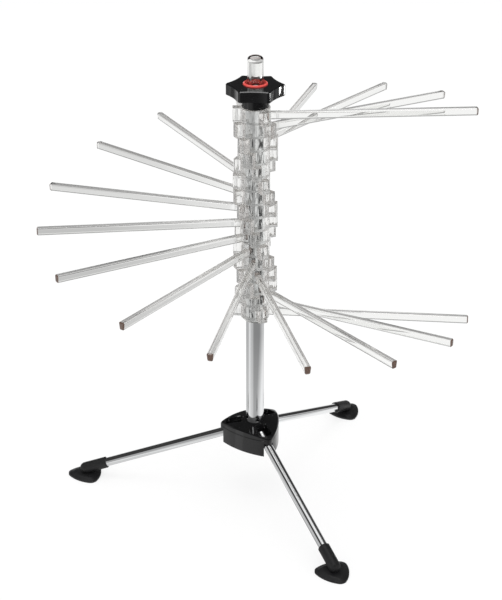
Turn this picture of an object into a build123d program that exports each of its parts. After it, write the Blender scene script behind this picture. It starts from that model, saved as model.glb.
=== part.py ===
from build123d import *
import os
from math import atan2, cos, hypot, radians, sin, sqrt, tan

# Pasta drying rack: a chrome column on three folding legs carries a stack of
# sixteen clear arms that swing round it, a star knob that clamps them, and a
# clear wand that is kept inside the column. Millimetres, +Z up, the floor at
# z = 0 and the column's axis through x = 0, y = 0.

# Fits and cuts shared by all pieces
running_fit = 0.06
seat_fit = 0.05
face_gap = 0.2
overrun = 6.0

# Column: a three-quarter inch tube
column_radius = 9.525
column_wall = 1.2
column_rim_chamfer = 0.4
column_bore = column_radius - column_wall

# Legs: three-eighths inch rods that fold down about pins in the hub
leg_names = ("left", "front", "rear")
first_leg_azimuth = 175.05
leg_step_angle = 360 / len(leg_names)
leg_radius = 4.75
leg_tail = 9.0
leg_tail_chamfer = 1.2
leg_tail_room = 1.0
leg_slot_room = 0.5
leg_proud = 0.25
leg_pocket_offset = 3.475
leg_pocket_width = 12.0
leg_pocket_round = 3.0
pivot_pin_radius = 1.5
leg_pocket_start = column_radius + leg_pocket_offset
leg_pivot_reach = leg_pocket_start + leg_tail + leg_tail_room
leg_slot_width = 2 * (leg_radius + leg_slot_room)

# Hub: where it stands and its outline, a triangle with bowed sides
hub_underside_z = 52.0
hub_body_height = 18.3
hub_corner_margin = 14.8
hub_side_bow = 88.0
hub_corner_round = 4.5
hub_wall = 2.5
hub_pocket_land = 7.3
hub_cover_height = 9.3
hub_dome_radius = 103.0
hub_edge_chamfer = 0.9
hub_seam_chamfer = 0.3
hub_pocket_chamfer = 0.6
hub_corner_reach = leg_pivot_reach + hub_corner_margin
leg_pocket_end = hub_corner_reach - hub_pocket_land
hub_seam_z = hub_underside_z + hub_body_height
hub_apex_z = hub_seam_z + hub_cover_height
leg_pivot_z = hub_seam_z - leg_radius + leg_proud

# Hub: the cover's side is lowest at the corners, and the edge's chamfer takes
# at most half of what the seam's chamfer leaves there
hub_side_height = hub_cover_height - hub_dome_radius + sqrt(hub_dome_radius**2 - hub_corner_reach**2)
hub_edge_room = (hub_side_height - hub_seam_chamfer) / 2

# Hub: the socket of the column and the screw below it
column_seat_height = 6.0
socket_wall = 3.0
column_seat_z = hub_underside_z + column_seat_height
plug_length = 12.0
column_screw_radius = 2.5
column_screw_length = 11.0
column_screw_head_radius = 4.6
column_screw_head_height = 2.8
column_screw_recess = 3.4
column_screw_room = 0.5
driver_socket_radius = 1.5
driver_socket_depth = 1.6

# Hub: the three screws that hold the cover down
cover_screw_offset = 6.975
cover_screw_radius = 1.5
cover_screw_head_radius = 2.8
cover_screw_head_height = 2.0
cover_screw_recess = 8.0
cover_screw_grip = 5.0
cover_screw_boss_radius = 4.4
cover_screw_room = 0.2
cover_screw_circle = column_radius + cover_screw_offset

# Feet: a rubber sleeve on the leg's end that runs into a flat pad, whose top
# slopes up from a thin rim
ankle_reach = 184.0
ankle_lift = 2.4
sleeve_wall = 1.35
sleeve_length = 25.0
sleeve_end_wall = 3.0
sleeve_mouth_chamfer = 0.6
pad_toe_outward = 20.5
pad_heel_inward = 11.5
pad_half_width = 17.5
pad_side_bow = 36.0
pad_corner_round = 7.0
pad_rim_height = 1.9
pad_slope_height = 1.9
pad_slope_run = 5.5
sleeve_radius = leg_radius + sleeve_wall
ankle_z = sleeve_radius + ankle_lift

# Arms: one ring with three lugs and one rod each, stacked on the column
stack_base_z = 202.4
arm_count = 16
ring_pitch = 14.0
ring_radius = 14.7
lug_count = 3
lug_reach = 22.0
lug_width = 9.2
lug_round = 1.5
arm_reach = 216.0
rod_height = 8.0
rod_top_width = 6.8
rod_bottom_width = 4.8
rod_top_round = 1.6
rod_bottom_round = 2.2
rod_tip_chamfer = 1.1
rod_root_height = 5.05
rod_tip_height = 7.05
stack_top_z = stack_base_z + arm_count * ring_pitch

# Arms: the fan that the photographed rack is set to, in degrees
fan_start_angle = 1.7
fan_step_angle = 23.4
hand_set_angles = (0, 1.5, 1.5, 0.5, 0, 0, -1.5, 0, -1.5, -2.5, 0, 0, 0, 0.5, 2, 0.5)

# Stop collar below the stack, held by a snap ring in a groove of the column
collar_height = 4.0
collar_band_height = 0.5
collar_inset = 0.2
collar_foot_wall = 1.2
snap_ring_height = 1.0
snap_ring_proud = 0.675
snap_ring_opening_angle = 25
snap_groove_depth = 0.4
snap_ring_radius = column_radius + snap_ring_proud
collar_radius = ring_radius - collar_inset
collar_foot_radius = snap_ring_radius + collar_foot_wall

# Knob: a six-lobed star nut above the stack
knob_skirt_radius = 13.4
knob_skirt_height = 11.9
knob_skirt_chamfer = 0.8
knob_star_height = 10.9
lobe_count = 6
first_lobe_azimuth = 177.0
lobe_point_reach = 29.7
lobe_valley_reach = 23.7
lobe_round = 3.0
knob_edge_chamfer = 0.8
knob_shell = 2.4
knob_core_depth = 7.5

# Red trim ring let into the top of the knob
trim_outer_radius = 12.0
trim_width = 2.6
trim_crest_inset = 1.1
trim_crest_width = 0.6
trim_seat_depth = 2.4
trim_proud = 1.7
trim_lip = 1.0

# Wand kept inside the column, a closed tube cored out from below
column_top_gap = 1.0
wand_room = 0.625
wand_proud = 31.0
wand_wall = 3.2
wand_cap = 6.0
wand_top_round = 3.2
wand_foot_chamfer = 0.6
wand_radius = column_bore - wand_room

# Places worked out from the sizes above
knob_star_z = stack_top_z + knob_skirt_height
knob_top_z = knob_star_z + knob_star_height
trim_base_z = knob_top_z - trim_seat_depth
column_top_z = trim_base_z - column_top_gap
wand_base_z = column_seat_z + plug_length
wand_length = column_top_z + wand_proud - wand_base_z
first_screw_azimuth = first_leg_azimuth + leg_step_angle / 2
leg_azimuths = [first_leg_azimuth + n * leg_step_angle for n in range(len(leg_names))]
leg_slope = atan2(leg_pivot_z - ankle_z, ankle_reach - leg_pivot_reach)
leg_run = hypot(leg_pivot_z - ankle_z, ankle_reach - leg_pivot_reach)

os.makedirs("parts", exist_ok=True)


def save(piece, name):
    """Label a finished piece and write it under its own name."""
    piece.part.label = name
    export_step(piece.part, f"parts/{name}.step")


def at(azimuth, reach, z):
    """Point at a distance from the column's axis, in a given direction."""
    turn = radians(azimuth)
    return (reach * cos(turn), reach * sin(turn), z)


def side_plane(azimuth):
    """Upright plane through the axis: x runs outward, y runs up."""
    turn = radians(azimuth)
    return Plane(origin=(0, 0, 0), x_dir=(cos(turn), sin(turn), 0), z_dir=(sin(turn), -cos(turn), 0))


def flat_plane(azimuth, z):
    """Level plane whose x runs outward along the azimuth."""
    turn = radians(azimuth)
    return Plane(origin=(0, 0, z), x_dir=(cos(turn), sin(turn), 0), z_dir=(0, 0, 1))


def leg_direction(azimuth):
    """Unit direction down the leg, from the hub to the foot."""
    turn = radians(azimuth)
    return Vector(cos(turn) * cos(leg_slope), sin(turn) * cos(leg_slope), -sin(leg_slope))


def hub_outline(z, inset=0):
    """Triangle with bowed sides and round corners that point along the legs."""
    corners = [at(azimuth, hub_corner_reach, z)[:2] for azimuth in leg_azimuths]
    with BuildSketch(Plane.XY.offset(z)) as outline:
        with BuildLine():
            for start, end in zip(corners, corners[1:] + corners[:1]):
                RadiusArc(start, end, -hub_side_bow)
        make_face()
        fillet(outline.vertices(), hub_corner_round)
        if inset:
            offset(amount=-inset, kind=Kind.INTERSECTION)
    return outline.sketch


# Hub body: a moulded box, cored out from below, with a slot for each leg
slot_clear_reach = leg_pivot_reach - leg_radius - leg_slot_room
with BuildPart() as hub_body:
    add(hub_outline(hub_underside_z))
    extrude(amount=hub_body_height)
    chamfer(hub_body.faces().sort_by(Axis.Z)[-1].edges(), hub_seam_chamfer)

    with BuildSketch(Plane.XY.offset(hub_underside_z)):
        add(hub_outline(hub_underside_z, inset=hub_wall))
        Circle(column_radius + seat_fit + socket_wall, mode=Mode.SUBTRACT)
        with PolarLocations(0, len(leg_names), start_angle=first_leg_azimuth):
            Rectangle(
                hub_corner_reach,
                leg_slot_width + 2 * hub_wall,
                align=(Align.MIN, Align.CENTER),
                mode=Mode.SUBTRACT,
            )
        with PolarLocations(cover_screw_circle, len(leg_names), start_angle=first_screw_azimuth):
            Circle(cover_screw_boss_radius, mode=Mode.SUBTRACT)
    extrude(amount=hub_body_height - hub_wall, mode=Mode.SUBTRACT)

    with BuildSketch(Plane.XY.offset(column_seat_z)):
        Circle(column_radius + seat_fit)
    extrude(amount=hub_body_height, mode=Mode.SUBTRACT)
    with BuildSketch(Plane.XY.offset(hub_underside_z)):
        Circle(column_screw_radius + column_screw_room)
    extrude(amount=column_seat_height, mode=Mode.SUBTRACT)
    with BuildSketch(Plane.XY.offset(hub_underside_z)):
        Circle(column_screw_head_radius + column_screw_room)
    extrude(amount=column_screw_recess, mode=Mode.SUBTRACT)

    for azimuth in leg_azimuths:
        with BuildSketch(side_plane(azimuth)):
            with Locations((slot_clear_reach, hub_underside_z - overrun)):
                Rectangle(hub_corner_reach, hub_body_height + 2 * overrun, align=(Align.MIN, Align.MIN))
            with Locations((leg_pocket_start, leg_pivot_z - leg_radius - leg_slot_room)):
                Rectangle(leg_pivot_reach, hub_body_height, align=(Align.MIN, Align.MIN))
        extrude(amount=leg_slot_width / 2, both=True, mode=Mode.SUBTRACT)
        with BuildSketch(side_plane(azimuth)):
            with Locations((leg_pivot_reach, leg_pivot_z)):
                Circle(pivot_pin_radius + seat_fit)
                Rectangle(
                    2 * (pivot_pin_radius + seat_fit),
                    hub_body_height,
                    align=(Align.CENTER, Align.MIN),
                )
        extrude(amount=leg_slot_width / 2 + hub_wall, both=True, mode=Mode.SUBTRACT)

    with BuildSketch(Plane.XY.offset(hub_underside_z)):
        with PolarLocations(cover_screw_circle, len(leg_names), start_angle=first_screw_azimuth):
            Circle(cover_screw_radius + cover_screw_room)
    extrude(amount=hub_body_height, mode=Mode.SUBTRACT)
    with BuildSketch(Plane.XY.offset(hub_underside_z)):
        with PolarLocations(cover_screw_circle, len(leg_names), start_angle=first_screw_azimuth):
            Circle(cover_screw_head_radius + cover_screw_room)
    extrude(amount=cover_screw_recess, mode=Mode.SUBTRACT)
save(hub_body, "hub_body")

# Stops: blocks under the cover's corners, which the raised legs press against
def leg_top_z(reach):
    """Height of the leg's upper side, with its gap, at a distance from the axis."""
    axis_z = leg_pivot_z - (reach - leg_pivot_reach) * tan(leg_slope)
    return axis_z + (leg_radius + face_gap) / cos(leg_slope)


with BuildPart() as leg_stops:
    for azimuth in leg_azimuths:
        with BuildSketch(side_plane(azimuth)):
            with BuildLine():
                Polyline(
                    (leg_pocket_end, hub_seam_z),
                    (hub_corner_reach, hub_seam_z),
                    (hub_corner_reach, leg_top_z(hub_corner_reach)),
                    (leg_pocket_end, leg_top_z(leg_pocket_end)),
                    close=True,
                )
            make_face()
        extrude(amount=leg_slot_width / 2 - seat_fit, both=True)
    add(hub_outline(hub_underside_z))
    extrude(amount=hub_body_height, mode=Mode.INTERSECT)

# Hub cover: a domed lid with a pocket over each leg's root
with BuildPart() as hub_cover:
    add(hub_outline(hub_seam_z))
    extrude(amount=hub_apex_z - hub_seam_z)
    with Locations((0, 0, hub_apex_z - hub_dome_radius)):
        Sphere(hub_dome_radius, mode=Mode.INTERSECT)
    chamfer(hub_cover.faces().sort_by(Axis.Z)[-1].edges(), min(hub_edge_chamfer, hub_edge_room))
    chamfer(hub_cover.faces().sort_by(Axis.Z)[0].edges(), hub_seam_chamfer)
    add(leg_stops.part)
    with BuildSketch(Plane.XY.offset(hub_seam_z)):
        with PolarLocations(leg_pivot_reach, len(leg_names), start_angle=first_leg_azimuth):
            with GridLocations(0, leg_slot_width + hub_wall, 1, 2):
                Rectangle(2 * pivot_pin_radius, hub_wall - 2 * seat_fit)
    extrude(amount=-(hub_seam_z - leg_pivot_z - pivot_pin_radius - seat_fit))

    with BuildSketch(Plane.XY.offset(hub_seam_z)) as pockets:
        with PolarLocations(leg_pocket_start, len(leg_names), start_angle=first_leg_azimuth):
            Rectangle(leg_pocket_end - leg_pocket_start, leg_pocket_width, align=(Align.MIN, Align.CENTER))
        fillet(pockets.vertices(), leg_pocket_round)
    extrude(amount=hub_cover_height + overrun, mode=Mode.SUBTRACT)
    dome = hub_cover.faces().filter_by(GeomType.SPHERE)[0]
    chamfer([edge for rim in dome.inner_wires() for edge in rim.edges()], hub_pocket_chamfer)
    with BuildSketch(Plane.XY.offset(hub_underside_z)):
        Circle(column_radius + seat_fit)
    extrude(amount=hub_body_height + hub_cover_height + overrun, mode=Mode.SUBTRACT)
    with BuildSketch(Plane.XY.offset(hub_seam_z)):
        with PolarLocations(cover_screw_circle, len(leg_names), start_angle=first_screw_azimuth):
            Circle(cover_screw_radius)
    extrude(amount=cover_screw_grip + cover_screw_room, mode=Mode.SUBTRACT)
save(hub_cover, "hub_cover")

# Cover screws: three pan-head screws up through the body into the cover
cover_screw_seat_z = hub_underside_z + cover_screw_recess
with BuildPart() as cover_screws:
    for n in range(len(leg_names)):
        azimuth = first_screw_azimuth + n * leg_step_angle
        with BuildSketch(Plane.XY.offset(cover_screw_seat_z)):
            with Locations(at(azimuth, cover_screw_circle, 0)):
                Circle(cover_screw_radius)
        extrude(amount=hub_seam_z + cover_screw_grip - cover_screw_seat_z)
        with BuildSketch(Plane.XY.offset(cover_screw_seat_z)):
            with Locations(at(azimuth, cover_screw_circle, 0)):
                Circle(cover_screw_head_radius)
        extrude(amount=-cover_screw_head_height)
save(cover_screws, "cover_screws")

# Pivot pins: one across each leg slot, trapped under the cover's fingers
with BuildPart() as pivot_pins:
    for azimuth in leg_azimuths:
        with BuildSketch(side_plane(azimuth)):
            with Locations((leg_pivot_reach, leg_pivot_z)):
                Circle(pivot_pin_radius)
        extrude(amount=leg_slot_width / 2 + hub_wall - seat_fit, both=True)
save(pivot_pins, "pivot_pins")

# Column: a plain tube, with a groove for the snap ring below the stack
snap_ring_z = stack_base_z - face_gap - collar_height
with BuildPart() as column_tube:
    with BuildSketch(Plane.XY.offset(column_seat_z)):
        Circle(column_radius)
        Circle(column_bore, mode=Mode.SUBTRACT)
    extrude(amount=column_top_z - column_seat_z)
    chamfer(column_tube.faces().sort_by(Axis.Z)[-1].edges(), column_rim_chamfer)
    with BuildSketch(Plane.XY.offset(snap_ring_z)):
        Circle(column_radius + overrun)
        Circle(column_radius - snap_groove_depth, mode=Mode.SUBTRACT)
    extrude(amount=snap_ring_height + seat_fit, mode=Mode.SUBTRACT)
save(column_tube, "column_tube")

# Column plug: fills the tube's foot, takes the screw and carries the wand
with BuildPart() as column_plug:
    with BuildSketch(Plane.XY.offset(column_seat_z)):
        Circle(column_bore)
    extrude(amount=plug_length)
    with BuildSketch(Plane.XY.offset(column_seat_z)):
        Circle(column_screw_radius)
    extrude(amount=column_screw_length, mode=Mode.SUBTRACT)
save(column_plug, "column_plug")

# Column screw: pulls the tube down into the hub from below
column_screw_seat_z = hub_underside_z + column_screw_recess
with BuildPart() as column_screw:
    with BuildSketch(Plane.XY.offset(column_screw_seat_z)):
        Circle(column_screw_radius)
    extrude(amount=column_screw_length)
    with BuildSketch(Plane.XY.offset(column_screw_seat_z)):
        Circle(column_screw_head_radius)
    extrude(amount=-column_screw_head_height)
    with BuildSketch(Plane.XY.offset(column_screw_seat_z - column_screw_head_height)):
        RegularPolygon(driver_socket_radius, 6)
    extrude(amount=driver_socket_depth, mode=Mode.SUBTRACT)
save(column_screw, "column_screw")

# Snap ring: a split ring in the column's groove
with BuildPart() as snap_ring:
    with BuildSketch(Plane.XY.offset(snap_ring_z)):
        Circle(snap_ring_radius)
        Circle(column_radius - snap_groove_depth + seat_fit, mode=Mode.SUBTRACT)
        with BuildLine():
            Polyline(
                (0, 0),
                at(-snap_ring_opening_angle / 2, 2 * snap_ring_radius, 0)[:2],
                at(snap_ring_opening_angle / 2, 2 * snap_ring_radius, 0)[:2],
                close=True,
            )
        make_face(mode=Mode.SUBTRACT)
    extrude(amount=snap_ring_height)
save(snap_ring, "snap_ring")

# Stop collar: a clear cone that rests on the snap ring and carries the stack
with BuildPart() as stop_collar:
    with BuildSketch(Plane.XZ):
        with BuildLine():
            Polyline(
                (column_radius + seat_fit, snap_ring_z + snap_ring_height),
                (snap_ring_radius + seat_fit, snap_ring_z + snap_ring_height),
                (snap_ring_radius + seat_fit, snap_ring_z),
                (collar_foot_radius, snap_ring_z),
                (collar_radius, snap_ring_z + collar_height - collar_band_height),
                (collar_radius, snap_ring_z + collar_height),
                (column_radius + seat_fit, snap_ring_z + collar_height),
                close=True,
            )
        make_face()
    revolve(axis=Axis.Z)
save(stop_collar, "stop_collar")


# Arms
def rod_section(plane):
    """Shield-shaped section: flat on top, tapering to a round underside."""
    with BuildSketch(plane) as section:
        with BuildLine():
            Polyline(
                (-rod_top_width / 2, rod_height / 2),
                (rod_top_width / 2, rod_height / 2),
                (rod_bottom_width / 2, -rod_height / 2),
                (-rod_bottom_width / 2, -rod_height / 2),
                close=True,
            )
        make_face()
        fillet(section.vertices().group_by(Axis.Z)[-1], rod_top_round)
        fillet(section.vertices().group_by(Axis.Z)[0], rod_bottom_round)
    return section.sketch


def make_arm(index):
    """One arm: ring, three lugs and a rod, counted down from the top."""
    azimuth = fan_start_angle + index * fan_step_angle + hand_set_angles[index]
    base_z = stack_top_z - (index + 1) * ring_pitch
    ring_height = ring_pitch - face_gap
    rod_rise = atan2(rod_tip_height - rod_root_height, arm_reach - ring_radius)
    start_z = base_z + rod_root_height - (ring_radius - column_radius) * tan(rod_rise)
    turn = radians(azimuth)
    rod_plane = Plane(
        origin=at(azimuth, column_radius, start_z),
        x_dir=(-sin(turn), cos(turn), 0),
        z_dir=(cos(turn) * cos(rod_rise), sin(turn) * cos(rod_rise), sin(rod_rise)),
    )
    with BuildPart() as arm:
        with BuildSketch(flat_plane(azimuth, base_z)) as plan:
            Circle(ring_radius)
            with PolarLocations(0, lug_count, start_angle=180):
                Rectangle(lug_reach, lug_width, align=(Align.MIN, Align.CENTER))
            tips = [v for v in plan.vertices() if hypot(v.X, v.Y) > (ring_radius + lug_reach) / 2]
            fillet(tips, lug_round)
        extrude(amount=ring_height)
        add(rod_section(rod_plane))
        extrude(amount=(arm_reach - column_radius) / cos(rod_rise), dir=rod_plane.z_dir)
        tip = max(arm.faces(), key=lambda face: hypot(face.center().X, face.center().Y))
        chamfer(tip.edges(), rod_tip_chamfer)
        with BuildSketch(flat_plane(azimuth, base_z)):
            Circle(column_radius + running_fit)
        extrude(amount=ring_height, mode=Mode.SUBTRACT)
    save(arm, f"arm_{index + 1:02d}")


for index in range(arm_count):
    make_arm(index)

# Knob
def star_outline(z, wall=0):
    """Star with concave sides and round lobes, drawn in evenly to leave a wall."""
    share = 1 - wall / lobe_valley_reach
    with BuildSketch(Plane.XY.offset(z)) as star:
        with BuildLine():
            for n in range(lobe_count):
                start = first_lobe_azimuth + n * 360 / lobe_count
                ThreePointArc(
                    at(start, lobe_point_reach * share, 0)[:2],
                    at(start + 180 / lobe_count, lobe_valley_reach * share, 0)[:2],
                    at(start + 360 / lobe_count, lobe_point_reach * share, 0)[:2],
                )
        make_face()
        fillet(star.vertices(), lobe_round * share)
    return star.sketch


with BuildPart() as knob:
    add(star_outline(knob_star_z))
    extrude(amount=knob_star_height)
    chamfer(knob.faces().sort_by(Axis.Z)[-1].edges(), knob_edge_chamfer)
    with BuildSketch(Plane.XY.offset(knob_star_z)):
        add(star_outline(knob_star_z, knob_shell))
        Circle(knob_skirt_radius, mode=Mode.SUBTRACT)
        with PolarLocations(0, lobe_count, start_angle=first_lobe_azimuth):
            Rectangle(lobe_point_reach, knob_shell, align=(Align.MIN, Align.CENTER), mode=Mode.SUBTRACT)
    extrude(amount=knob_core_depth, mode=Mode.SUBTRACT)
    with BuildSketch(Plane.XY.offset(stack_top_z)):
        Circle(knob_skirt_radius)
    extrude(amount=knob_skirt_height)
    chamfer(knob.faces().sort_by(Axis.Z)[0].edges(), knob_skirt_chamfer)
    with BuildSketch(Plane.XY.offset(stack_top_z)):
        Circle(column_radius + running_fit)
    extrude(amount=knob_skirt_height + knob_star_height, mode=Mode.SUBTRACT)
    with BuildSketch(Plane.XY.offset(knob_top_z)):
        Circle(trim_outer_radius + seat_fit)
    extrude(amount=-trim_seat_depth, mode=Mode.SUBTRACT)
save(knob, "knob")

# Trim ring
trim_inner_radius = trim_outer_radius - trim_width
trim_crest_radius = trim_outer_radius - trim_crest_inset
with BuildPart() as trim_ring:
    with BuildSketch(Plane.XZ):
        with BuildLine():
            Polyline(
                (trim_inner_radius, trim_base_z),
                (trim_outer_radius, trim_base_z),
                (trim_outer_radius, knob_top_z + trim_proud / 2),
                (trim_crest_radius, knob_top_z + trim_proud),
                (trim_crest_radius - trim_crest_width, knob_top_z + trim_proud),
                (trim_inner_radius, trim_base_z + trim_lip),
                close=True,
            )
        make_face()
    revolve(axis=Axis.Z)
save(trim_ring, "trim_ring")

# Wand
with BuildPart() as wand:
    with BuildSketch(Plane.XY.offset(wand_base_z)):
        Circle(wand_radius)
    extrude(amount=wand_length)
    fillet(wand.faces().sort_by(Axis.Z)[-1].edges(), wand_top_round)
    chamfer(wand.faces().sort_by(Axis.Z)[0].edges(), wand_foot_chamfer)
    with BuildSketch(Plane.XY.offset(wand_base_z)):
        Circle(wand_radius - wand_wall)
    extrude(amount=wand_length - wand_cap, mode=Mode.SUBTRACT)
save(wand, "wand")


# Legs and feet
def make_leg(name, azimuth):
    """Chrome rod with a cross hole for its pivot pin."""
    down = leg_direction(azimuth)
    across = Vector(-sin(radians(azimuth)), cos(radians(azimuth)), 0)
    pivot = Vector(*at(azimuth, leg_pivot_reach, leg_pivot_z))
    with BuildPart() as leg:
        with BuildSketch(Plane(origin=pivot - down * leg_tail, x_dir=across, z_dir=down)):
            Circle(leg_radius)
        extrude(amount=leg_tail + leg_run + sleeve_radius - sleeve_end_wall)
        chamfer(leg.edges().filter_by(GeomType.CIRCLE).sort_by(Axis.Z)[-1], leg_tail_chamfer)
        with BuildSketch(Plane(origin=pivot, x_dir=down, z_dir=across)):
            Circle(pivot_pin_radius + running_fit)
        extrude(amount=leg_radius + overrun, both=True, mode=Mode.SUBTRACT)
    save(leg, f"leg_{name}")


def make_foot(name, azimuth):
    """Rubber foot: a flat rounded pad with a sleeve for the leg's end."""
    down = leg_direction(azimuth)
    across = Vector(-sin(radians(azimuth)), cos(radians(azimuth)), 0)
    ankle = Vector(*at(azimuth, ankle_reach, ankle_z))
    mouth = Plane(origin=ankle - down * sleeve_length, x_dir=across, z_dir=down)
    toe_reach = ankle_reach + pad_toe_outward
    heel_reach = ankle_reach - pad_heel_inward
    corners = [(toe_reach, 0), (heel_reach, pad_half_width), (heel_reach, -pad_half_width)]
    with BuildPart() as foot:
        with BuildSketch(flat_plane(azimuth, 0)) as pad:
            with BuildLine():
                for start, end in zip(corners, corners[1:] + corners[:1]):
                    RadiusArc(start, end, -pad_side_bow)
            make_face()
            fillet(pad.vertices(), pad_corner_round)
        extrude(amount=pad_rim_height + pad_slope_height)
        pad_top = foot.faces().sort_by(Axis.Z)[-1]
        chamfer(pad_top.edges(), pad_slope_run, pad_slope_height, reference=pad_top)
        with BuildSketch(mouth):
            Circle(sleeve_radius)
        extrude(amount=sleeve_length)
        chamfer(foot.edges().filter_by(GeomType.CIRCLE).sort_by(Axis.Z)[-1], sleeve_mouth_chamfer)
        with Locations(ankle):
            Sphere(sleeve_radius)
        with BuildSketch(mouth):
            Circle(leg_radius + seat_fit)
        extrude(amount=sleeve_length + sleeve_radius - sleeve_end_wall, mode=Mode.SUBTRACT)
    save(foot, f"foot_{name}")


for name, azimuth in zip(leg_names, leg_azimuths):
    make_leg(name, azimuth)
    make_foot(name, azimuth)
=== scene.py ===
from math import cos, pi, radians, sin

import bpy
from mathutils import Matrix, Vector


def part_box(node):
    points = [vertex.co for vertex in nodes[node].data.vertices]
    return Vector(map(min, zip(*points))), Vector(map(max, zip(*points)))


# Pasta drying rack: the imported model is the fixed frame, and this script gives
# it its finishes with their fine relief, the studio and the camera.
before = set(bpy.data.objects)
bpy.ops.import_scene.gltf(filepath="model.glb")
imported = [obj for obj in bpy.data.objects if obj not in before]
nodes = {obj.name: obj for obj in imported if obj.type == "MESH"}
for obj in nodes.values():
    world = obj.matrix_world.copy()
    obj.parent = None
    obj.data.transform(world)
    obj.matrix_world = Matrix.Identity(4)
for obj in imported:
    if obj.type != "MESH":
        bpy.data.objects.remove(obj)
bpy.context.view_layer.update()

ARMS = [f"arm_{n:02d}" for n in range(1, 17)]
LEGS = ("left", "front", "rear")
ARM_TIP = 0.216
KNOB_SIDE = (0.0265, -0.0046, 0.4445)
HUB_RIM = (0.02, -0.06, 0.07)
WAND_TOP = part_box("wand")[1].z
WAND_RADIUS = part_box("wand")[1].x

# Camera, fitted to the photograph: metres, degrees, and pixels of the frame
CAMERA_TARGET = (-0.0042, 0.0, 0.2187)
CAMERA_DISTANCE = 1.6654
CAMERA_ELEVATION = 26.14
FOCAL_PIXELS = 1634
FRAME_LONG_SIDE = 600
SENSOR = 36
CLIP_END = 50

# Light levels
PLAIN_LIGHT = 1.0
BACKDROP_LIGHT = 1.0
FLOOR_GLOW = 0.72
FLOOR_PAPER = (0.985, 0.985, 0.985, 1)
FLOOR_HALF = 12
WHITE = (1, 1, 1, 1)

# Light passes through many clear walls, one behind the other
CLEAR_BOUNCES = 32
GLOSS_BOUNCES = 24

# Lamps for matt surfaces: name, place, size, watts
MATT_LAMPS = (
    ("key", (-0.2, 0.1, 1.6), (0.8, 0.8), 3.5),
    ("fill", (0.9, -0.9, 1.0), (0.8, 0.8), 1.5),
)

# Lamps that only show as glints: name, place, size, watts, aim, beam in degrees
WIDE_BEAM = 180
GLINT_LAMPS = (
    ("side_glint", (1.25, 0.22, 0.025), (0.3, 0.03), 0.008, KNOB_SIDE, 10),
    ("edge_glint", (0, -0.375, 1.49), (0.9, 0.12), 1.7, KNOB_SIDE, WIDE_BEAM),
    ("rim_glint", (-0.5, -0.72, 1.31), (0.3, 0.3), 1.2, HUB_RIM, WIDE_BEAM),
)

# Room that gloss and glass see, by direction: shades, and how much x and y add
WALL_SHADE, WALL_TO_RIGHT, WALL_TO_BACK = 0.79, 0.26, 0.28
WALL_RANGE = (0.3, 1.0)
WALL_TOP, WALL_TOP_TO_RIGHT, WALL_TOP_TO_BACK = 0.28, -0.15, -0.2
WALL_TOP_EDGE = (-0.06, 0.08)
CEILING = 0.045
GLASS_CEILING = 0.4
GLASS_CEILING_TO_RIGHT = 0.25

# Soft box overhead, as x/z and y/z: where it starts, is full, fades and ends
SOFT_BOX_X = (-0.68, -0.56, 0.12, 0.26)
SOFT_BOX_Y = (-0.08, 0.06, 0.44, 0.58)
SOFT_BOX_FADE = (0.1, 0.3)
LEAST_HEIGHT = 0.05

# Painted reflections: floor shades that only gloss sees. Metres from the column,
# degrees round it with 0 in front, and shades. A pair is where an edge starts and ends
NEAR_FLOOR = (0.18, 0.36)
FAR_FLOOR = (0.5, 0.95)
FRONT_SHADE, FRONT_NEAR_FALL, FRONT_FAR_FALL = 0.43, -0.15, -0.2
LEFT_SHADE, LEFT_NEAR_FALL = 0.72, -0.14
LEFT_EDGE = (-40, -8)
BACK_LEFT_EDGE = (-155, -130)
BACK_LEFT_GAIN = 0.4
RIGHT_START, RIGHT_START_SHIFT = 15.0, 40.0
RIGHT_WIDTH, RIGHT_WIDTH_GAIN = 75.0, 20.0
RIGHT_GAIN = 0.7
PAINTED_STRIP_TURN, PAINTED_STRIP_SHADE = -68.0, 0.95
PAINTED_STRIP_EDGE = (6, 12)
PAINTED_FLAG_TURN, PAINTED_FLAG_FALL = 124.0, 0.35
PAINTED_FLAG_EDGE = (5, 10)
GLOSS_RANGE = (0.06, 1.0)

# Painted reflection streaks: cards painted on the floor in front, seen only through
# the rings: middle and half width in degrees, and the change of shade
RING_PAINTED_STREAKS = ((-62, 10, -0.8), (-30, 7, -0.8), (12, 8, 0.7), (50, 17, -1.4), (86, 8, 0.6))
RING_GAIN = 0.26
RING_EDGE = 3

# Painted floor shades as clear plastic sees them, in metres: how much each side adds,
# where the left and the front begin, and an addition that keeps a share finite at the centre
GLASS_SHADE, GLASS_TO_RIGHT, GLASS_TO_BACK = 0.8, 0.2, 0.1
GLASS_SIDE = 0.12
GLASS_CENTRE = 0.02
GLASS_LEFT_EDGE = (-0.08, -0.03)
FRONT_EDGE = (0.1, -0.1)
GLASS_FRONT_SHARE = 0.1
GLASS_FRONT_FALL = 0.3
GLASS_FALL_EDGE = (0.12, 0.6)
GLASS_RANGE = (0.2, 1.0)
OPEN_FLOOR = (0.95, 1.2)

# Cards painted as shades on the floor behind on the left: middle, start and end of
# the edge along Y, and shade
PAINTED_DARK_CARD = (0.31, 0.08, 0.13, 0.42)
PAINTED_GREY_CARD = (1.0, 0.22, 0.34, 0.13)
PAINTED_PALE_CARD = (0.62, 0.17, 0.25, 0.3)
PAINTED_GREY_CARD_SIDE = (-0.1, -0.3)
PAINTED_PALE_CARD_SIDE = (-0.22, -0.15)
LAST_PALE_EDGE = (1.25, 1.4)
LAST_PALE_GAIN = 0.06


# Nodes
def link(tree, source, target):
    tree.links.new(source, target)


def axes_of(tree, space):
    """X, Y and Z of a texture space."""
    place = tree.nodes.new("ShaderNodeTexCoord")
    axes = tree.nodes.new("ShaderNodeSeparateXYZ")
    link(tree, place.outputs[space], axes.inputs[0])
    return tuple(axes.outputs)


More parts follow.
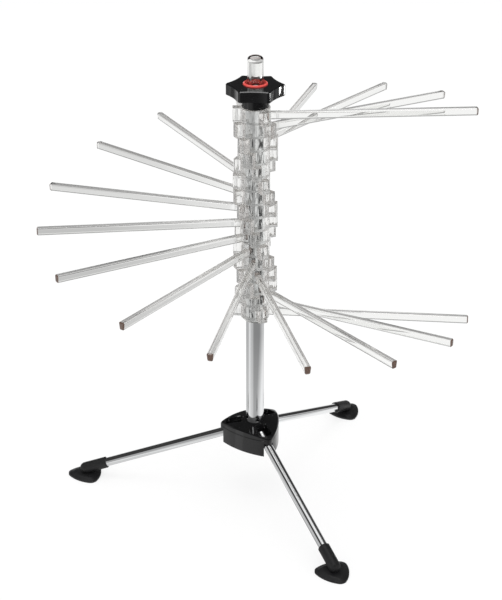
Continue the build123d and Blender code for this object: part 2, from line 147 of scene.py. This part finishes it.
def maths(tree, operation, first, second=None):
    """Math node whose inputs are sockets or plain numbers."""
    node = tree.nodes.new("ShaderNodeMath")
    node.operation = operation
    for socket, value in zip(node.inputs, (first, second)):
        if value is None:
            continue
        if isinstance(value, (int, float)):
            socket.default_value = value
        else:
            link(tree, value, socket)
    return node.outputs[0]


def added(tree, first, *others):
    for value in others:
        first = maths(tree, "ADD", first, value)
    return first


def less(tree, first, *others):
    for value in others:
        first = maths(tree, "SUBTRACT", first, value)
    return first


def times(tree, first, *others):
    for value in others:
        first = maths(tree, "MULTIPLY", first, value)
    return first


def larger(tree, first, second):
    return maths(tree, "MAXIMUM", first, second)


def away(tree, value, middle):
    """Distance of a value from a middle."""
    return maths(tree, "ABSOLUTE", less(tree, value, middle))


def clamped(tree, value, low, high):
    """Value kept between two numbers."""
    return maths(tree, "MINIMUM", larger(tree, value, low), high)


def ramp(tree, value, start, end, low=0.0, high=1.0, shape="SMOOTHSTEP"):
    """Value that runs from low to high between two places."""
    node = tree.nodes.new("ShaderNodeMapRange")
    node.interpolation_type = shape
    settings = {"From Min": start, "From Max": end, "To Min": low, "To Max": high}
    for name, number in settings.items():
        node.inputs[name].default_value = number
    link(tree, value, node.inputs["Value"])
    return node.outputs["Result"]


def fading(tree, value, start, end, high=1.0):
    """Value that falls from high to nothing between two places."""
    return ramp(tree, value, start, end, high, 0.0)


def weighed(tree, parts, offset):
    """Sum of sockets, each times its weight, and an offset."""
    total = offset
    for value, weight in parts:
        total = added(tree, times(tree, value, weight), total)
    return total


def glowing(tree, kind, strength, color=WHITE):
    """Light of its own, for a world or a surface, of a set or a worked out strength."""
    node = tree.nodes.new(kind)
    node.inputs["Color"].default_value = color
    if isinstance(strength, (int, float)):
        node.inputs["Strength"].default_value = strength
    else:
        link(tree, strength, node.inputs["Strength"])
    return node.outputs[0]


def mixed(tree, share, first, second):
    """Two shaders, the second by its share."""
    node = tree.nodes.new("ShaderNodeMixShader")
    for socket, value in zip(node.inputs, (share, first, second)):
        link(tree, value, socket)
    return node.outputs[0]


# Studio
def add_camera():
    """Camera at the photograph's viewing angle, looking along +Y and down."""
    tilt = radians(CAMERA_ELEVATION)
    data = bpy.data.cameras.new("camera")
    data.sensor_width = SENSOR
    data.lens = FOCAL_PIXELS * SENSOR / FRAME_LONG_SIDE
    data.clip_end = CLIP_END
    camera = bpy.data.objects.new("camera", data)
    x, y, z = CAMERA_TARGET
    camera.location = (x, y - CAMERA_DISTANCE * cos(tilt), z + CAMERA_DISTANCE * sin(tilt))
    camera.rotation_euler = (pi / 2 - tilt, 0, 0)
    bpy.context.scene.collection.objects.link(camera)
    bpy.context.scene.camera = camera


def room_shade(tree, through):
    """Room by direction: a low pale sweep behind and to the right, a taller dim side
    at the left and the front, one long soft box, and a ceiling that is dark except
    through clear plastic."""
    x, y, z = axes_of(tree, "Generated")
    wall = weighed(tree, ((x, WALL_TO_RIGHT), (y, WALL_TO_BACK)), WALL_SHADE)
    wall = clamped(tree, wall, *WALL_RANGE)
    rim = weighed(tree, ((x, WALL_TOP_TO_RIGHT), (y, WALL_TOP_TO_BACK)), WALL_TOP)
    below_rim = fading(tree, less(tree, z, rim), *WALL_TOP_EDGE)
    glass = weighed(tree, ((x, GLASS_CEILING_TO_RIGHT),), GLASS_CEILING - CEILING)
    ceiling = added(tree, times(tree, glass, through), CEILING)
    room = added(tree, times(tree, less(tree, wall, ceiling), below_rim), ceiling)
    height = larger(tree, z, LEAST_HEIGHT)
    box = ramp(tree, z, *SOFT_BOX_FADE)
    for axis, (start, full, fade, end) in ((x, SOFT_BOX_X), (y, SOFT_BOX_Y)):
        along = maths(tree, "DIVIDE", axis, height)
        box = times(tree, box, ramp(tree, along, start, full), fading(tree, along, fade, end))
    return larger(tree, room, box)


def add_world():
    """White to the camera, plain light on matt surfaces, and the room for gloss and
    clear plastic."""
    world = bpy.data.worlds.new("studio")
    bpy.context.scene.world = world
    world.use_nodes = True
    tree = world.node_tree
    tree.nodes.clear()
    path = tree.nodes.new("ShaderNodeLightPath")
    through = path.outputs["Is Transmission Ray"]
    shiny = larger(tree, path.outputs["Is Glossy Ray"], through)
    plain = glowing(tree, "ShaderNodeBackground", PLAIN_LIGHT)
    reflected = glowing(tree, "ShaderNodeBackground", room_shade(tree, through))
    backdrop = glowing(tree, "ShaderNodeBackground", BACKDROP_LIGHT)
    seen = mixed(tree, shiny, plain, reflected)
    seen = mixed(tree, path.outputs["Is Camera Ray"], seen, backdrop)
    out = tree.nodes.new("ShaderNodeOutputWorld")
    link(tree, seen, out.inputs["Surface"])


def add_light(name, place, size, watts, aim=CAMERA_TARGET, beam_angle=WIDE_BEAM, glint=False):
    """Soft box that points at one place: it lights matt surfaces, or shows as a
    glint in glossy ones."""
    data = bpy.data.lights.new(name, "AREA")
    data.shape = "RECTANGLE"
    data.size, data.size_y = size
    data.energy = watts
    data.spread = radians(beam_angle)
    lamp = bpy.data.objects.new(name, data)
    lamp.location = place
    beam = Vector(aim) - Vector(place)
    lamp.rotation_euler = beam.to_track_quat("-Z", "Y").to_euler()
    lamp.visible_camera = False
    lamp.visible_glossy = glint
    lamp.visible_diffuse = not glint
    lamp.visible_transmission = False
    bpy.context.scene.collection.objects.link(lamp)


def reach_of(tree, x, y):
    """Distance from the column's axis."""
    return maths(tree, "SQRT", added(tree, times(tree, x, x), times(tree, y, y)))


def turn_of(tree, x, y):
    """Degrees round the column, 0 in front."""
    return times(tree, maths(tree, "ARCTAN2", x, times(tree, y, -1.0)), 180 / pi)


def gloss_shade(tree, x, y):
    """Painted reflections on the floor, as chrome and gloss see it: a painted dark
    card in front that widens with distance, a grey left side with one painted
    narrow strip light, a painted black flag at each side, white behind."""
    reach = reach_of(tree, x, y)
    turn = turn_of(tree, x, y)
    near = ramp(tree, reach, *NEAR_FLOOR, shape="LINEAR")
    far = ramp(tree, reach, *FAR_FLOOR)
    painted_card = weighed(tree, ((near, FRONT_NEAR_FALL), (far, FRONT_FAR_FALL)), FRONT_SHADE)
    grey = weighed(tree, ((near, LEFT_NEAR_FALL),), LEFT_SHADE)
    left = fading(tree, turn, *LEFT_EDGE)
    shade = added(tree, painted_card, times(tree, left, less(tree, grey, painted_card)))
    shade = added(tree, shade, fading(tree, turn, *BACK_LEFT_EDGE, BACK_LEFT_GAIN))
    start = weighed(tree, ((near, RIGHT_START_SHIFT),), RIGHT_START)
    width = weighed(tree, ((near, RIGHT_WIDTH_GAIN),), RIGHT_WIDTH)
    right = clamped(tree, maths(tree, "DIVIDE", less(tree, turn, start), width), 0.0, 1.0)
    shade = added(tree, shade, times(tree, right, RIGHT_GAIN))
    painted_strip = fading(tree, away(tree, turn, PAINTED_STRIP_TURN), *PAINTED_STRIP_EDGE, PAINTED_STRIP_SHADE)
    shade = larger(tree, shade, painted_strip)
    side = maths(tree, "ABSOLUTE", turn)
    painted_flag = fading(tree, away(tree, side, PAINTED_FLAG_TURN), *PAINTED_FLAG_EDGE, PAINTED_FLAG_FALL)
    return clamped(tree, less(tree, shade, painted_flag), *GLOSS_RANGE)


def ring_shade(tree, shade, x, y):
    """Painted reflection streaks: the floor in front as the chrome column shows it
    through the clear rings, the gloss shade, lighter, with painted dark and bright
    cards that break it into streaks."""
    turn = turn_of(tree, x, y)
    shade = added(tree, shade, RING_GAIN)
    for middle, half, change in RING_PAINTED_STREAKS:
        off = away(tree, turn, middle)
        shade = added(tree, shade, fading(tree, off, half - RING_EDGE, half + RING_EDGE, change))
    return clamped(tree, shade, 0.0, 1.0)


def painted_card_across(tree, y, painted_card):
    """Card painted as a shade across the floor, by its distance along Y."""
    middle, start, end, shade = painted_card
    return fading(tree, away(tree, y, middle), start, end, shade)


def glass_shade(tree, x, y):
    """Painted floor shades as seen through clear plastic: greyer to the left and in
    front, with a painted dark card, a pale one and a grey one behind on the left."""
    reach = added(tree, reach_of(tree, x, y), GLASS_CENTRE)
    side = clamped(tree, maths(tree, "DIVIDE", x, GLASS_SIDE), -1.0, 1.0)
    back = maths(tree, "DIVIDE", y, reach)
    band = weighed(tree, ((side, GLASS_TO_RIGHT), (back, GLASS_TO_BACK)), GLASS_SHADE)
    left = fading(tree, x, *GLASS_LEFT_EDGE)
    dark = times(tree, left, painted_card_across(tree, y, PAINTED_DARK_CARD))
    grey = times(tree, ramp(tree, x, *PAINTED_GREY_CARD_SIDE), painted_card_across(tree, y, PAINTED_GREY_CARD))
    pale = times(tree, left, ramp(tree, x, *PAINTED_PALE_CARD_SIDE), painted_card_across(tree, y, PAINTED_PALE_CARD))
    last = times(tree, left, ramp(tree, y, *LAST_PALE_EDGE, 0.0, LAST_PALE_GAIN))
    band = added(tree, less(tree, band, dark, grey), pale, last)
    front = ramp(tree, y, *FRONT_EDGE)
    fall = ramp(tree, reach, *GLASS_FALL_EDGE, 0.0, GLASS_FRONT_FALL, shape="LINEAR")
    fall = times(tree, fall, front, fading(tree, reach, *OPEN_FLOOR))
    return clamped(tree, less(tree, band, fall), *GLASS_RANGE)


def floor_shade(tree, through):
    """Painted floor reflections for gloss and clear plastic. Light that comes through
    clear plastic from the front, near the column, is mostly thrown back by the
    chrome inside the rings, so it has the painted ring shade."""
    x, y, _ = axes_of(tree, "Object")
    gloss = gloss_shade(tree, x, y)
    rings = ring_shade(tree, gloss, x, y)
    glass = less(tree, glass_shade(tree, x, y), rings)
    share = fading(tree, y, *FRONT_EDGE)
    share = added(tree, times(tree, share, 1.0 - GLASS_FRONT_SHARE), GLASS_FRONT_SHARE)
    share = larger(tree, share, ramp(tree, reach_of(tree, x, y), *OPEN_FLOOR))
    change = added(tree, times(tree, glass, share), less(tree, rings, gloss))
    return added(tree, gloss, times(tree, change, through))


def add_floor():
    """White floor that keeps a faint shadow of the rack. Gloss and clear plastic see
    painted reflections on it: cards, a strip and flags painted as shades."""
    mesh = bpy.data.meshes.new("floor")
    half = FLOOR_HALF
    corners = [(-half, -half, 0), (half, -half, 0), (half, half, 0), (-half, half, 0)]
    mesh.from_pydata(corners, [], [(0, 1, 2, 3)])
    floor = bpy.data.objects.new("floor", mesh)
    bpy.context.scene.collection.objects.link(floor)
    material = bpy.data.materials.new("floor_paper")
    material.use_nodes = True
    tree = material.node_tree
    tree.nodes.clear()
    paper = tree.nodes.new("ShaderNodeBsdfDiffuse")
    paper.inputs["Color"].default_value = FLOOR_PAPER
    path = tree.nodes.new("ShaderNodeLightPath")
    through = path.outputs["Is Transmission Ray"]
    shiny = larger(tree, path.outputs["Is Glossy Ray"], through)
    camera_share = times(tree, path.outputs["Is Camera Ray"], FLOOR_GLOW)
    glow = glowing(tree, "ShaderNodeEmission", BACKDROP_LIGHT)
    # Painted reflections: floor shades that only gloss and clear plastic see
    dim = glowing(tree, "ShaderNodeEmission", floor_shade(tree, through))
    seen = mixed(tree, camera_share, paper.outputs[0], glow)
    seen = mixed(tree, shiny, seen, dim)
    out = tree.nodes.new("ShaderNodeOutputMaterial")
    link(tree, seen, out.inputs["Surface"])
    mesh.materials.append(material)


# Materials

# A cloud is a noise's scale and detail, and a relief adds its depth in metres and
# its strength. Colour and roughness follow the middle of the noise's range
NOISE_MIDDLE = (0.35, 0.65)

CLEAR_IOR = 1.58
CLEAR_TINT = (0.98, 0.985, 0.975)
CLEAR_DEPTH = (0.28, 0.10, 0.0, 1)
CLEAR_DENSITY = 3
CLEAR_CLOUD = (150, 3)
CLEAR_ROUGHNESS = (0.0, 0.012)

# Arms: where the end face begins before the tip, and where the rings' ripples end
ARM_END_FACE = (0.0012, 0.0010)
# Painted brown of the end faces: it stands in for the view down each arm's length
ARM_END_PAINTED_COLOR = (0.13, 0.085, 0.068)
ARM_END_PASSED = 0.1
ARM_RIPPLE_EDGE = (0.019, 0.025)
ARM_RIPPLE = (220, 2, (1, 1, 0.18))
ARM_RIPPLE_DEPTH = 0.0014
COLLAR_RIPPLE = (260, 2, (1, 1, 0.25))
COLLAR_RIPPLE_DEPTH = 0.0008

# Wand: metres below its top, and shares of its radius, where the painted brown arc lies
WAND_ARC_DROP = (0.004, 0.0022)
WAND_ARC_EDGE = (0.42, 0.52)
WAND_ARC_BACK = (-0.15, 0.3)
WAND_ARC_PAINTED_COLOR = (0.20, 0.13, 0.12)
WAND_ARC_PASSED = 0.0
# Painted glow that lights the arc's inner faces, though they are no lamp
WAND_ARC_PAINTED_GLOW = (0.17, 0.12, 0.115, 1)
WAND_RELIEF = (120, 3, 0.00005, 0.5)


def start_material(name):
    material = bpy.data.materials.new(name)
    material.use_nodes = True
    tree = material.node_tree
    return material, tree, tree.nodes["Principled BSDF"]


def object_noise(tree, scale, detail, stretch=(1, 1, 1)):
    """Noise in the object's own metres."""
    place = tree.nodes.new("ShaderNodeTexCoord")
    mapping = tree.nodes.new("ShaderNodeMapping")
    mapping.inputs["Scale"].default_value = stretch
    link(tree, place.outputs["Object"], mapping.inputs["Vector"])
    noise = tree.nodes.new("ShaderNodeTexNoise")
    noise.inputs["Scale"].default_value = scale
    noise.inputs["Detail"].default_value = detail
    link(tree, mapping.outputs["Vector"], noise.inputs["Vector"])
    return noise.outputs["Fac"]


def spread(tree, cloud, low, high):
    """Turns a noise into a value between low and high."""
    return ramp(tree, cloud, *NOISE_MIDDLE, low, high, shape="LINEAR")


def tint(tree, factor, low, high):
    """Mixes two colours by a factor."""
    mix = tree.nodes.new("ShaderNodeMix")
    mix.data_type = "RGBA"
    mix.inputs["A"].default_value = (*low, 1)
    mix.inputs["B"].default_value = (*high, 1)
    link(tree, factor, mix.inputs["Factor"])
    return mix.outputs["Result"]


def add_bump(tree, bsdf, height, depth, strength=1.0):
    bump = tree.nodes.new("ShaderNodeBump")
    bump.inputs["Distance"].default_value = depth
    bump.inputs["Strength"].default_value = strength
    link(tree, height, bump.inputs["Height"])
    link(tree, bump.outputs["Normal"], bsdf.inputs["Normal"])


def add_relief(tree, bsdf, relief):
    scale, detail, depth, strength = relief
    add_bump(tree, bsdf, object_noise(tree, scale, detail), depth, strength)


def solid_finish(name, cloud, colors, roughness, relief, sockets=None):
    """Opaque finish, clouded between two colours and two roughnesses."""
    material, tree, bsdf = start_material(name)
    for socket, value in (sockets or {}).items():
        bsdf.inputs[socket].default_value = value
    mottle = object_noise(tree, *cloud)
    link(tree, tint(tree, mottle, *colors), bsdf.inputs["Base Color"])
    link(tree, spread(tree, mottle, *roughness), bsdf.inputs["Roughness"])
    add_relief(tree, bsdf, relief)
    return material


def clear_plastic(name):
    """Clear moulding with faint flow marks, that dims with depth."""
    material, tree, bsdf = start_material(name)
    bsdf.inputs["IOR"].default_value = CLEAR_IOR
    depth = tree.nodes.new("ShaderNodeVolumeAbsorption")
    depth.inputs["Color"].default_value = CLEAR_DEPTH
    depth.inputs["Density"].default_value = CLEAR_DENSITY
    link(tree, depth.outputs[0], tree.nodes["Material Output"].inputs["Volume"])
    flow = object_noise(tree, *CLEAR_CLOUD)
    link(tree, spread(tree, flow, *CLEAR_ROUGHNESS), bsdf.inputs["Roughness"])
    return material, tree, bsdf


def inside_of(tree):
    """1 on the inner side of a surface, 0 on its outer side."""
    return tree.nodes.new("ShaderNodeNewGeometry").outputs["Backfacing"]


def paint_length_tint(tree, bsdf, share, color, passed):
    """Paints the ends of clear pieces with a colour that stands in for the view
    down their whole length, but only from outside."""
    share = times(tree, share, less(tree, 1.0, inside_of(tree)))
    link(tree, tint(tree, share, CLEAR_TINT, color), bsdf.inputs["Base Color"])
    clear = ramp(tree, share, 0.0, 1.0, 1.0, passed)
    link(tree, clear, bsdf.inputs["Transmission Weight"])


def clear_arms():
    """Arms: painted brown end faces, standing in for the view down each arm's
    length, and moulded ripples up the rings.
    """
    material, tree, bsdf = clear_plastic("clear_arms")
    x, y, _ = axes_of(tree, "Object")
    reach = reach_of(tree, x, y)
    end = ramp(tree, reach, *(ARM_TIP - depth for depth in ARM_END_FACE))
    paint_length_tint(tree, bsdf, end, ARM_END_PAINTED_COLOR, ARM_END_PASSED)
    rings = fading(tree, reach, *ARM_RIPPLE_EDGE)
    ripple = times(tree, object_noise(tree, *ARM_RIPPLE), rings)
    add_bump(tree, bsdf, ripple, ARM_RIPPLE_DEPTH)
    return material


def clear_wand():
    """Wand: a painted brown arc on the far edge of its round top stands in for
    the view down its length, and its inner faces get a painted glow.
    """
    material, tree, bsdf = clear_plastic("clear_wand")
    x, y, z = axes_of(tree, "Object")
    high = ramp(tree, z, *(WAND_TOP - drop for drop in WAND_ARC_DROP))
    edge = ramp(tree, reach_of(tree, x, y), *(share * WAND_RADIUS for share in WAND_ARC_EDGE))
    back = ramp(tree, y, *(share * WAND_RADIUS for share in WAND_ARC_BACK))
    arc = times(tree, high, edge, back)
    paint_length_tint(tree, bsdf, arc, WAND_ARC_PAINTED_COLOR, WAND_ARC_PASSED)
    # Painted light: the arc's inner faces glow
    bsdf.inputs["Emission Color"].default_value = WAND_ARC_PAINTED_GLOW
    link(tree, times(tree, arc, inside_of(tree)), bsdf.inputs["Emission Strength"])
    add_relief(tree, bsdf, WAND_RELIEF)
    return material


def clear_collar():
    """Stop collar: clear all through, with the rings' ripples."""
    material, tree, bsdf = clear_plastic("clear_collar")
    bsdf.inputs["Base Color"].default_value = (*CLEAR_TINT, 1)
    bsdf.inputs["Transmission Weight"].default_value = 1.0
    add_bump(tree, bsdf, object_noise(tree, *COLLAR_RIPPLE), COLLAR_RIPPLE_DEPTH)
    return material


def dress(names, material):
    """Gives CAD nodes a finish."""
    for name in names:
        slots = nodes[name].material_slots
        if not slots:
            nodes[name].data.materials.append(material)
        for slot in nodes[name].material_slots:
            slot.material = material


black_gloss = solid_finish(
    "black_gloss_plastic",
    cloud=(90, 5),
    colors=((0.006, 0.006, 0.006), (0.010, 0.010, 0.011)),
    roughness=(0.03, 0.08),
    relief=(700, 2, 0.000006, 0.3),
)
chrome = solid_finish(
    "bright_chrome",
    cloud=(60, 5),
    colors=((0.80, 0.81, 0.82), (0.86, 0.865, 0.87)),
    roughness=(0.035, 0.075),
    relief=(900, 2, 0.000004, 0.4),
    sockets={"Metallic": 1.0},
)
black_rubber = solid_finish(
    "black_rubber",
    cloud=(120, 5),
    colors=((0.009, 0.009, 0.010), (0.016, 0.016, 0.017)),
    roughness=(0.42, 0.58),
    relief=(1800, 3, 0.00004, 0.5),
    sockets={"Specular IOR Level": 0.4},
)
red_plastic = solid_finish(
    "red_plastic",
    cloud=(200, 4),
    colors=((0.80, 0.085, 0.075), (0.88, 0.115, 0.100)),
    roughness=(0.15, 0.25),
    relief=(1500, 2, 0.00001, 0.3),
)
plated_steel = solid_finish(
    "plated_steel",
    cloud=(400, 4),
    colors=((0.52, 0.52, 0.50), (0.62, 0.62, 0.61)),
    roughness=(0.28, 0.4),
    relief=(400, 4, 0.00002, 0.3),
    sockets={"Metallic": 1.0},
)
plain_nylon = solid_finish(
    "black_nylon",
    cloud=(500, 4),
    colors=((0.02, 0.02, 0.02), (0.035, 0.035, 0.035)),
    roughness=(0.45, 0.6),
    relief=(500, 4, 0.00003, 0.4),
)

dress(["hub_body", "hub_cover", "knob"], black_gloss)
dress(["column_tube"] + [f"leg_{name}" for name in LEGS], chrome)
dress([f"foot_{name}" for name in LEGS], black_rubber)
dress(ARMS, clear_arms())
dress(["wand"], clear_wand())
dress(["stop_collar"], clear_collar())
dress(["trim_ring"], red_plastic)
dress(["pivot_pins", "cover_screws", "column_screw", "snap_ring"], plated_steel)
dress(["column_plug"], plain_nylon)

bpy.context.scene.view_settings.view_transform = "Standard"
cycles = bpy.context.scene.cycles
cycles.max_bounces = CLEAR_BOUNCES
cycles.transmission_bounces = CLEAR_BOUNCES
cycles.glossy_bounces = GLOSS_BOUNCES
add_camera()
add_world()
add_floor()
for lamp in MATT_LAMPS:
    add_light(*lamp)
for lamp in GLINT_LAMPS:
    add_light(*lamp, glint=True)
